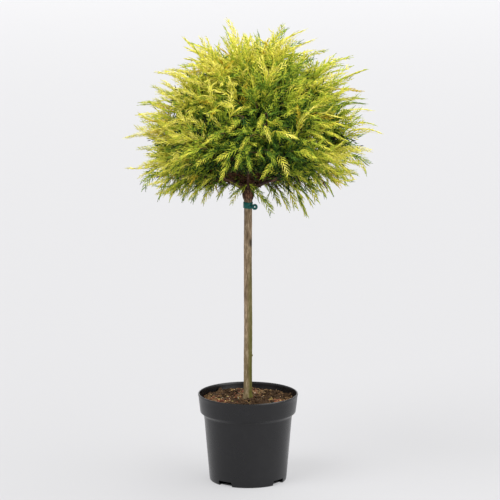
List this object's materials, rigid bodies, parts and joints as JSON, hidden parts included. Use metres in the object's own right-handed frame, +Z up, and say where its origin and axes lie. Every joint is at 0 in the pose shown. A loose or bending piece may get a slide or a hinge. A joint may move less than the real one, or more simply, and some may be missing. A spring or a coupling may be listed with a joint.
{
  "type": "golden juniper lollipop standard in nursery pot",
  "caption": "Juniper grown as a standard: a feathery golden-green ball of foliage on one straight bare stem, with a tie under the head, in a round black nursery pot of bark compost.",
  "frame": {"origin": "centre of the pot's flat underside, at the mount base", "axes": "+Z up along the stem, -Y towards the front, +X to the right of somebody who looks at the front"},
  "size_m": [0.5933, 0.5662, 1.0724],
  "materials": {
    "pot": "satin black, moulded",
    "compost": "moist bark compost, matt",
    "stem_bark": "thin grey-brown bark with green algae, matt",
    "bough_bark": "red-brown young bark, matt",
    "tie": "teal green soft plastic",
    "foliage_low": "needles, mid green",
    "foliage_mid": "needles, yellow-green",
    "foliage_high": "needles, golden green",
    "foliage_top": "needles, gold"
  },
  "bodies": {
    "root": {"pot": "pot", "compost": "compost", "stem": "stem_bark", "tie_band": "tie", "tie_button": "tie", "bough_skirt_1": "bough_bark", "foliage_skirt_1": "foliage_low", "bough_skirt_2": "bough_bark", "foliage_skirt_2": "foliage_low", "bough_skirt_3": "bough_bark", "foliage_skirt_3": "foliage_low", "bough_skirt_4": "bough_bark", "foliage_skirt_4": "foliage_low", "bough_skirt_5": "bough_bark", "foliage_skirt_5": "foliage_low", "bough_skirt_6": "bough_bark", "foliage_skirt_6": "foliage_low", "bough_flank_1": "bough_bark", "foliage_flank_1": "foliage_mid", "bough_flank_2": "bough_bark", "foliage_flank_2": "foliage_mid", "bough_flank_3": "bough_bark", "foliage_flank_3": "foliage_mid", "bough_flank_4": "bough_bark", "foliage_flank_4": "foliage_mid", "bough_flank_5": "bough_bark", "foliage_flank_5": "foliage_mid", "bough_flank_6": "bough_bark", "foliage_flank_6": "foliage_mid", "bough_shoulder_1": "bough_bark", "foliage_shoulder_1": "foliage_high", "bough_shoulder_2": "bough_bark", "foliage_shoulder_2": "foliage_high", "bough_shoulder_3": "bough_bark", "foliage_shoulder_3": "foliage_high", "bough_shoulder_4": "bough_bark", "foliage_shoulder_4": "foliage_high", "bough_crest": "bough_bark", "foliage_crest": "foliage_top"}
  },
  "joints": []
}
